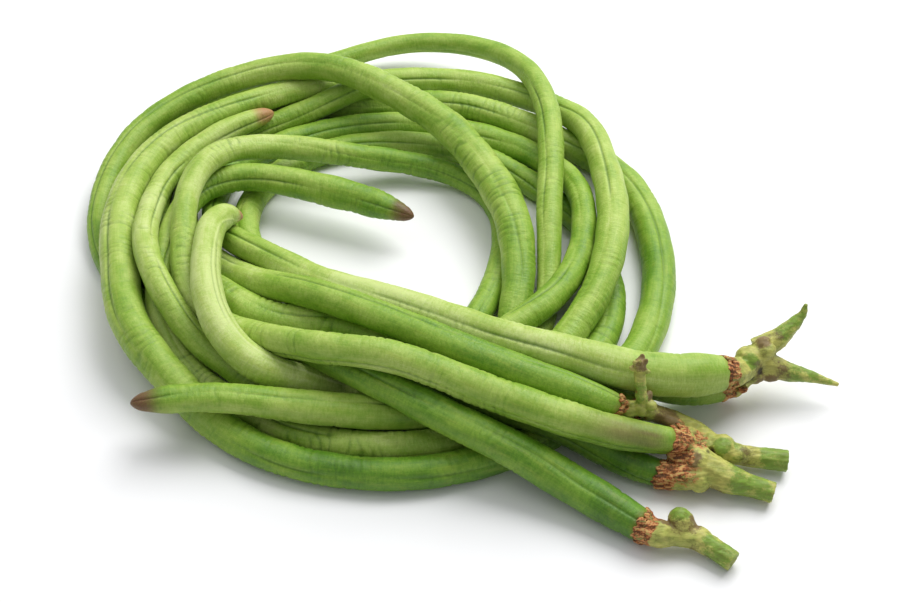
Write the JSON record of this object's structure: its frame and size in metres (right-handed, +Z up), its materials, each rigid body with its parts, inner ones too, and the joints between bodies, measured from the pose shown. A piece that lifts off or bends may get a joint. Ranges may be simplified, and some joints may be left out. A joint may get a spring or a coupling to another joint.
{
  "type": "yardlong bean bunch",
  "caption": "Bunch of long slender green bean pods coiled into a flat ring, with short knobbly stalks together at one side.",
  "frame": {"origin": "middle of the bunch's bounding box, on the surface that it lies on", "axes": "+X towards the stalk ends, +Y to the back of the ring as pictured, +Z up"},
  "size_m": [0.216, 0.2156, 0.0322],
  "materials": {
    "pod_green": "fresh satin bean skin, mid green with paler and browner patches",
    "stalk_green": "rough yellow-green stalk with brown scars"
  },
  "bodies": {
    "root": {"pod_1": "pod_green", "pod_2": "pod_green", "pod_3": "pod_green", "pod_4": "pod_green", "pod_5": "pod_green", "pod_6": "pod_green", "pod_7": "pod_green", "stalk_1": "stalk_green", "stalk_2": "stalk_green", "stalk_3": "stalk_green", "stalk_4": "stalk_green"}
  },
  "joints": []
}
